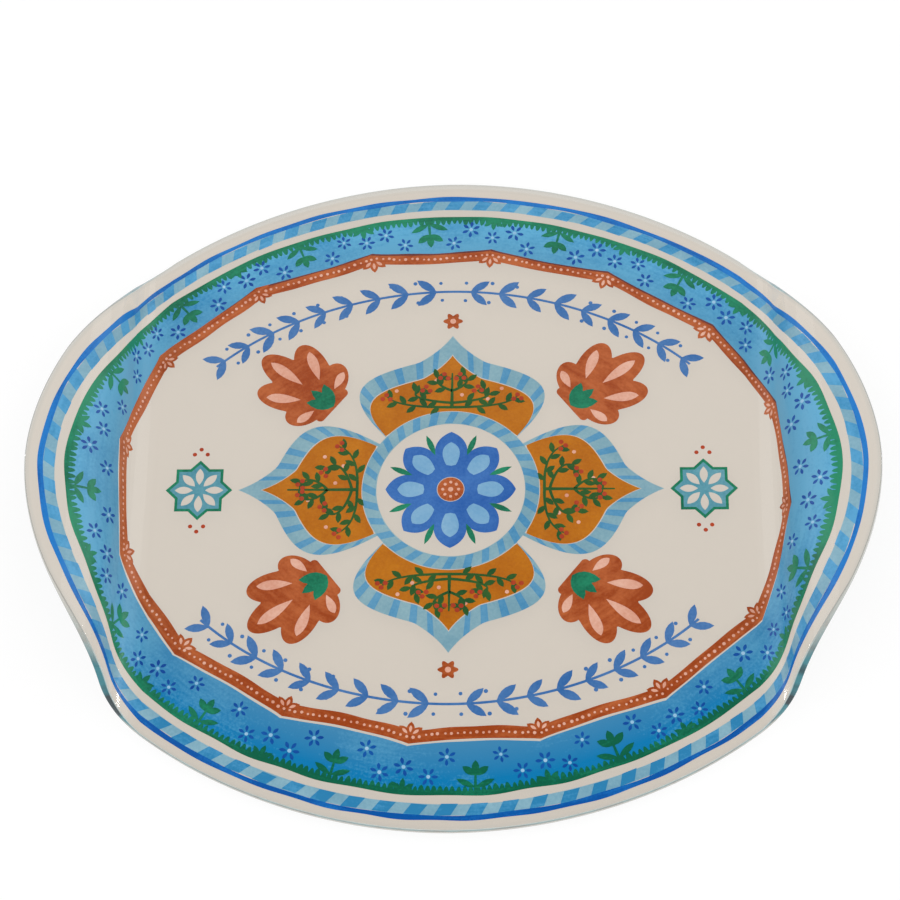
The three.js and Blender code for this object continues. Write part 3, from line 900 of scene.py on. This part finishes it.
bar_half, bar_slant, bar_reach = 2.0, 1.6, 2.7
bar = np.array([(-bar_half - bar_slant, -bar_reach), (bar_half - bar_slant, -bar_reach),
                (bar_half + bar_slant, bar_reach), (bar_slant - bar_half, bar_reach)])
bar_spread = (0.05, 0.08, 0.1)
ring_middle = disc(roundel_radius - roundel_ring / 2, count=28)
film("ring_stripes", row(ring_middle, [bar * [1, 1.2]], bar_spread), 4, frame_blue)
film("frame_stripes", stripes, 2, frame_blue)

# %% [markdown]
# An ochre panel fills each frame. Its outline is the frame's inner one, drawn a little smaller, so a
# narrow gap of clear sheet keeps the two inks apart.

# %% Ochre panels
ochre = ink("ochre_ink", colour(198, 120, 14), colour(176, 96, 0), 50)
gap = 0.3
for name, (reach, spread, turn) in lobes.items():
    side_line = lobe_side(reach - 2 * gap, spread - gap, roundel_radius + gap)
    foot_angle = math.atan2(side_line[0, 1], side_line[0, 0])
    foot_angles = np.linspace(-foot_angle, foot_angle, 31)[1:-1]
    foot = (roundel_radius + gap) * np.stack([np.cos(foot_angles), np.sin(foot_angles)], 1)
    outline = np.vstack([side_line, (side_line * [1, -1])[-2::-1], foot])
    film(f"panel_{name}", [moved(outline, turn=turn)], 1, ochre, [f"ochre_panel_{name}"])


# %% [markdown]
# Vines with berries grow over the ochre panels, alike on both sides of each panel's axis, and a few
# pale dots lie between them. A branch is a stroke that thins towards its end, as a brush leaves it.

# %% Vines and berries of the panels
def stroke(line, width, end_share=0.45):
    """A stroke along an open line that thins towards its end."""
    ahead = np.gradient(line, axis=0)
    ahead /= np.hypot(*ahead.T)[:, None]
    normal = np.stack([-ahead[:, 1], ahead[:, 0]], 1)
    half = (width / 2 * np.linspace(1, end_share, len(line)))[:, None]
    return strip(line + normal * half, line - normal * half, closed=False)


dot_places = ((0.1, 0.48), (0.22, -0.1), (0.3, 0.56), (0.14, -0.36), (0.34, -0.5), (0.5, 0.16))
vines, berries, panel_dots = [], [], []
for reach, spread, turn in lobes.values():
    low = roundel_radius + 3
    far = reach - low
    parts = [stroke(curve((low, 0), (reach * 0.86, 0)), 1.8)]
    fruit = []
    for side in (1, -1):
        for points in (
            ((2, 0), (0.12, 0.4), (0.26, 0.46), (0.36, 0.26)),
            ((0.3 * far, 0), (0.4, 0.16), (0.54, 0.2), (0.6, 0.08)),
            ((-0.5, 0), (-0.02, 0.3), (0.02, 0.58), (0.2, 0.66)),
        ):
            start_point, *others = points
            branch = curve((low + start_point[0], 0), *[(low + far * a, spread * b) for a, b in others],
                           steps=14) * [1, side]
            parts.append(stroke(branch, 1.5))
            for index in range(2, 13, 2):
                step = branch[index + 1] - branch[index - 1]
                heading = math.atan2(step[1], step[0]) + (0.8 if index % 4 else -0.8)
                parts.append(moved(leaf(6.2, 2.9, 0.5, 4), branch[index], heading))
            fruit += [disc(1.25, branch[-1] + np.array(nudge) * [1, side], 9)
                      for nudge in ((0.6, 0), (-1.6, 1.9), (-1.8, -1.9))]
    panel_dots += [moved(disc(1.0, (low + far * a, spread * b), 10), turn=turn)
                   for a, b in dot_places]
    vines += [moved(part, turn=turn) for part in parts]
    berries += [moved(part, turn=turn) for part in fruit]
vine_ink = ink("vine_green_ink", colour(54, 98, 38), colour(24, 78, 34), 60)
film("panel_vines", vines, 3, vine_ink)
berry_ink = ink("berry_ink", colour(190, 72, 36), colour(158, 50, 24), 60)
film("panel_berries", berries, 5, berry_ink)
film("panel_dots", panel_dots, 2, pink)

# %% [markdown]
# ## The rosette
# Eight petals stand round a small eye. Each petal has a paler core, and a slim leaf grows between
# each two of them.

# %% Rosette
petal_count, petal_margin, petal_fullness = 8, 4.5, 0.82
eye_radius, hub_width = 6.5, 3.0
petal_length = roundel_radius - roundel_ring - petal_margin
petal_breadth = petal_length * math.tan(math.pi / petal_count) * petal_fullness


def ring_of(shape, count, first=0.0):
    return [moved(shape, turn=2 * math.pi * i / count + first) for i in range(count)]


def petal_shape(start, share):
    """A petal that starts at a radius and has a share of the full length and breadth."""
    line = curve((0, 0), (0.5 * petal_length, petal_breadth), (0.85 * petal_length, petal_breadth),
                 (petal_length, 0), steps=24)
    middle = np.array([petal_length * 0.62, 0])
    line = (line - middle) * share + middle
    return two_sided(np.vstack([[(start, 0)], line[line[:, 0] > start]]))


rosette_ink = ink("rosette_ink", colour(66, 120, 190), colour(34, 92, 170), 50)
film("rosette_petals", ring_of(petal_shape(eye_radius + gap, 1.0), petal_count), 1, rosette_ink,
     ["cobalt_rosette"])
core_ink = ink("petal_core_ink", colour(140, 184, 214), colour(110, 164, 204), 50)
film("petal_cores", ring_of(petal_shape(13.0, 0.52), petal_count), 3, core_ink)
hub = strip(disc(eye_radius + gap + hub_width, count=48), disc(eye_radius + gap, count=48))
film("rosette_hub", [hub], 2, rosette_ink)
film("eye", [disc(eye_radius, count=32)], 1, terracotta, ["rosette_eye"])
eye_dots = [disc(0.8, place, 9) for place in disc(3.9, count=8)] + [disc(1.3, count=10)]
film("eye_dots", eye_dots, 2, pink)
between_leaf = moved(leaf(12, 3.0, 0.5), (20.5, 0))
film("rosette_leaves", ring_of(between_leaf, petal_count, math.pi / petal_count), 2, green)

# %% [markdown]
# ## Stars, palmettes, blossoms and garlands
# Loose motifs stand round the medallion. A star is two squares, one turned on the other, with a ring
# of leaf-shaped openings. It is drawn as sixteen like slices, so that the openings stay open.

# %% Stars
star_radius, star_hub, opening_length, opening_width = 16.5, 3.0, 9.0, 4.0
star_gap = 4
star_place = bend_lines[-1] - star_gap - star_radius
notch = star_radius / (math.cos(math.pi / 8) + math.sin(math.pi / 8))
teal = ink("teal_ink", colour(108, 168, 182), colour(66, 138, 158), 50)


def star_slices(outer_share):
    opening = curve((star_hub, 0), (star_hub + opening_length * 0.55, opening_width),
                    (star_hub + opening_length, 0), steps=8)
    corner = np.array([math.cos(math.pi / 8), math.sin(math.pi / 8)]) * notch * outer_share
    half = np.vstack([[(0, 0)], opening, [(star_radius * outer_share, 0), corner]])
    return [piece for mirror in (1, -1) for piece in ring_of(half * [1, mirror], 8)]


def star_line(share):
    tips = np.array([(star_radius, 0), moved((notch, 0), turn=math.pi / 8)]) * share
    return np.vstack([moved(tips, turn=math.pi / 4 * i) for i in range(8)])


outlines, star_beads = [], []
for name, side in (("left", -1), ("right", 1)):
    place = np.array([side * star_place, 0])
    slices = [moved(part, place) for part in star_slices(0.96)]
    film(f"star_{name}", slices, 1, teal, [f"star_{name}"])
    outlines.append(strip(moved(star_line(1.0), place), moved(star_line(0.88), place)))
    star_beads += [disc(1.1, place + (dx, way * (star_radius + dy)), 9)
                   for way in (1, -1) for dx, dy in ((0, 6.2), (-3.2, 3.4), (3.2, 3.4))]
film("star_outlines", outlines, 2, green)
film("star_beads", star_beads, 1, berry_ink)

# %% [markdown]
# A palmette is a fan of five fingers that grows outwards from the notch between two lobes of the
# medallion. Pale fingers and a green calyx are printed over it.

# %% Palmettes
palmette_length, palmette_squeeze, palmette_tilt = 42.0, 0.775, math.radians(38)
fan_half_angle, fan_narrowing = math.radians(115), 0.62
finger_pitch, finger_depth = math.radians(40), 0.26
palmette_gap = 6.5
palmette_foot = np.array([crown_spread, side_spread]) + frame_width + palmette_gap


def fan_radius(angle):
    finger = 1 - finger_depth + finger_depth * np.abs(np.cos(math.pi / finger_pitch * angle))
    return palmette_length * np.cos(angle * fan_narrowing) * finger


fan_angles = np.linspace(-fan_half_angle, fan_half_angle, 140)
fan = fan_radius(fan_angles)[:, None] * np.stack([np.cos(fan_angles), np.sin(fan_angles)], 1)
fingers = []
for angle in finger_pitch * np.arange(-2, 3):
    length = fan_radius(angle)
    finger = moved(leaf(length * 0.5, length * 0.16, 0.72, 8), (length * 0.38, 0))
    fingers.append(moved(finger, turn=angle))
calyx = [moved(leaf(15, 7), (-4.5, 0), turn) for turn in (-0.62, 0, 0.62)]
corners = {"upper_left": (-1, 1), "upper_right": (1, 1), "lower_left": (-1, -1), "lower_right": (1, -1)}


def in_corner(shapes, way):
    """The shapes of one palmette, put at its place in one quarter of the floor."""
    turned_shapes = [moved(shape * [1, palmette_squeeze], turn=palmette_tilt) for shape in shapes]
    return [(shape + palmette_foot) * way for shape in turned_shapes]


for name, way in corners.items():
    film(f"palmette_{name}", in_corner([fan], way), 1, terracotta,
         [f"palmette_{name}"])
all_fingers = [shape for way in corners.values() for shape in in_corner(fingers, way)]
film("palmette_fingers", all_fingers, 2, pink)
all_calyxes = [shape for way in corners.values() for shape in in_corner(calyx, way)]
film("palmette_calyxes", all_calyxes, 3, green)

# %% [markdown]
# A small round blossom stands between the medallion and each garland. Its outline is a circle whose
# radius swells and shrinks six times. Its place follows from the garland's, so both are sized here.

# %% Small blossoms
garland_leaf, garland_tilt = (12.0, 4.4), math.radians(38)
leaf_span = garland_leaf[0] * math.sin(garland_tilt) + garland_leaf[1] / 2
border_depth, spacing = 51.8, 3
garland_depth = border_depth + spacing + leaf_span
blossom_radius, blossom_petals, blossom_depth = 5.0, 6, 0.18
blossom_place = half_width - garland_depth - leaf_span - spacing - blossom_radius
blossom_angles = np.linspace(0, 2 * math.pi, 72, endpoint=False)
lobed = 1 - blossom_depth + blossom_depth * np.cos(blossom_petals * blossom_angles)
for name, side in (("upper", 1), ("lower", -1)):
    outline = moved(disc(blossom_radius, count=72) * lobed[:, None], (0, side * blossom_place))
    film(f"blossom_{name}", [outline], 1, terracotta, [f"blossom_{name}"])
middles = [disc(1.5, (0, side * blossom_place), 12) for side in (1, -1)]
film("blossom_hearts", middles, 2, pink)

# %% [markdown]
# A garland follows the border above and below the medallion, with a pair of leaves at every step.
# Each half grows from the middle outwards.

# %% Garlands
slate = ink("slate_blue_ink", colour(82, 128, 184), colour(50, 104, 168), 60)
garland_pairs, first_pair, garland_end = 9, 0.6, math.radians(40)
arc_angles = np.linspace(garland_end, math.pi - garland_end, 161)
arc_u = (half_length - garland_depth) * np.cos(arc_angles)
arc_rise = 1 - np.abs(arc_u / (half_length - garland_depth)) ** length_power
arc = even(np.stack([arc_u, (half_width - garland_depth) * arc_rise ** (1 / width_power)], 1), 360)
sprig = [moved(leaf(*garland_leaf), turn=side * garland_tilt) for side in (1, -1)]
for name, side in (("upper", 1), ("lower", -1)):
    shapes = []
    for way, guide in ((1, arc[180:]), (-1, arc[180::-1])):
        first, last = [round(180 * (pair + first_pair) / garland_pairs)
                       for pair in (0, garland_pairs - 1)]
        stops = even(guide[first:last + 1], garland_pairs - 1)
        shapes += row(stops, sprig, (0.06, 0.08, 0.1), closed=False, seed=20 + way)
    shapes = [shape * [1, side] for shape in shapes]
    film(f"garland_{name}", shapes, 1, slate, [f"garland_{name}"])
stems = [stroke(arc * [1, side], 1.3, 1.0) for side in (1, -1)]
film("garland_stems", stems, 3, slate)
garland_fruit = row(even(arc[14:-14], 19), [disc(1.0, (0, side * 5.4), 9) for side in (1, -1)],
                    (0.1, 0.1, 0.2), closed=False, seed=30)
fruit_pairs = [shape * [1, side] for side in (1, -1) for shape in garland_fruit]
film("garland_fruit", fruit_pairs, 1, slate)

# %% [markdown]
# ## Table and light
# The table and the room are white, as in the photograph. Part of the table's white is its own light,
# which keeps it bright while the tray still leaves a faint shadow there.

# %% Table
def seen_directly(start):
    """1 for what the camera sees, also in a mirror or through clear sheet, and 0 for lighting."""
    rays = start.node("ShaderNodeLightPath", out="Is Camera Ray")
    return (rays + rays.other("Is Glossy Ray") + rays.other("Is Transmission Ray")).between(0, 1)


floor_reach = 3.0
table_drop = 0.0003
own_light, light_strength = 0.8, 1.05
floor_mesh = flat_mesh("table", [np.array([(-1, -1), (1, -1), (1, 1), (-1, 1)]) * floor_reach])
floor = bpy.data.objects.new("table", floor_mesh)
floor.location.z = -table_drop
bpy.context.scene.collection.objects.link(floor)
table_white, start = new_material("table_white")
grain = start.node("ShaderNodeTexCoord", out="Object").noise(60)
paper = grain.blend((0.9, 0.9, 0.9, 1), (0.93, 0.93, 0.93, 1))
white = start.node("ShaderNodeBsdfDiffuse", None, {"Color": paper})
glow = start.node("ShaderNodeEmission", None, {"Color": (1, 1, 1, 1), "Strength": light_strength})
shown = start.node("ShaderNodeMixShader", None, {
    0: seen_directly(start) * own_light, 1: white, 2: glow})
start.node("ShaderNodeOutputMaterial", None, {"Surface": shown})
floor_mesh.materials.append(table_white)
print("the table is", 2 * floor_reach, "m wide")

# %% [markdown]
# The room is a white background that is dimmer overhead, so that the tray's floor doesn't mirror a
# bright ceiling. Two wide soft lamps at the sides and one in front light the bends. Two slim ones
# stand where the camera sees them mirrored in the near bends, and give each its short white glint.

# %% Room and lamps
room_level, overhead_dimming = 0.85, 0.75
room = bpy.data.worlds.new("studio")
bpy.context.scene.world = room
room.use_nodes = True
room.node_tree.nodes.clear()
start = Wire(room.node_tree)
direction = start.node("ShaderNodeSeparateXYZ", None, {0: start.node("ShaderNodeTexCoord")})
overhead = ((direction.other("Z") - 0.87) * 14).between(0, 1)
camera_ray = start.node("ShaderNodeLightPath", out="Is Camera Ray")
level = camera_ray + (1 - camera_ray) * (room_level - overhead * overhead_dimming)
background = start.node("ShaderNodeBackground", None, {"Color": (1, 1, 1, 1), "Strength": level})
start.node("ShaderNodeOutputWorld", None, {"Surface": background})


def softbox(name, place, size, energy):
    """A lamp of that width and height that faces the tray."""
    data = bpy.data.lights.new(name, "AREA")
    data.shape, data.energy = "RECTANGLE", energy
    data.size, data.size_y = size
    lamp = bpy.data.objects.new(name, data)
    lamp.location = place
    lamp.rotation_euler = (-Vector(place)).to_track_quat("-Z", "Y").to_euler()
    bpy.context.scene.collection.objects.link(lamp)


for name, side in (("left_softbox", -1), ("right_softbox", 1)):
    softbox(name, (side * 1.1, 0.55, 0.9), (0.9, 1.2), 2.5)
softbox("front_light", (0.0, -1.2, 1.6), (1.0, 1.0), 6)

slim_size, slim_energy = (0.01, 0.24), 0.16


def glint(name, u, v, distance=0.9):
    """A slim lamp at the place that the camera sees mirrored in the sheet at one flat place."""
    places = np.array([item.vector for item in sheet.data.attributes["blank"].data])
    index = np.abs(places - (u, places[:, 1].mean(), sheet_thickness))[:, [0, 2]].sum(1).argmin()
    spot = sheet.data.vertices[index].co.copy()
    spot.y = v * METRES
    slope = slope_at(np.array([u]))[0]
    normal = Vector((-math.sin(slope), 0, math.cos(slope)))
    view = (camera.matrix_world.translation - spot).normalized()
    mirrored = 2 * normal.dot(view) * normal - view
    softbox(name, spot + distance * mirrored, slim_size, slim_energy)


glint("left_glint", -158.8, -115.0)
glint("right_glint", 162.5, -113.5)
bpy.context.scene.view_settings.view_transform = "Standard"
